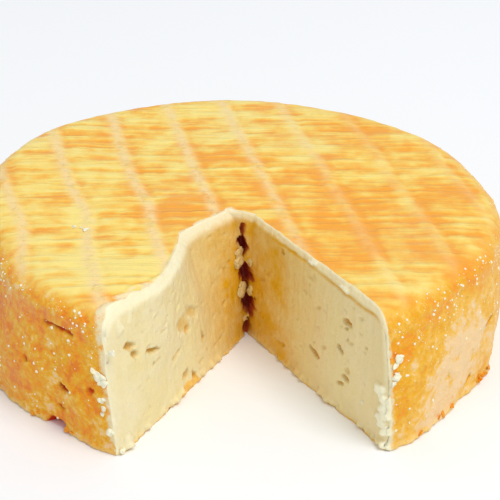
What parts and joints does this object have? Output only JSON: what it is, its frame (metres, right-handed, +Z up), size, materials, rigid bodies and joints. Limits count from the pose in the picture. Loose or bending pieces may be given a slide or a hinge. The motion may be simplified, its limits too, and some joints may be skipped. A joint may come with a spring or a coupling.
{
  "type": "munster cheese",
  "caption": "Round washed-rind soft cheese, low and flat, with a wedge cut out that shows its ivory paste with small eyes.",
  "frame": {"origin": "middle of the bounding box's floor: the wheel's own axis stands 3.2 mm in front of it, towards the cut", "axes": "+Z up from the flat base, the cut-out wedge opens to -Y, +X to the right as seen from the cut"},
  "size_m": [0.1812, 0.1748, 0.0471],
  "materials": {
    "rind": "moist, slightly glossy yellow-orange washed rind; the two cut faces are matt ivory paste"
  },
  "bodies": {
    "root": {"cheese_wheel": "rind"}
  },
  "joints": []
}
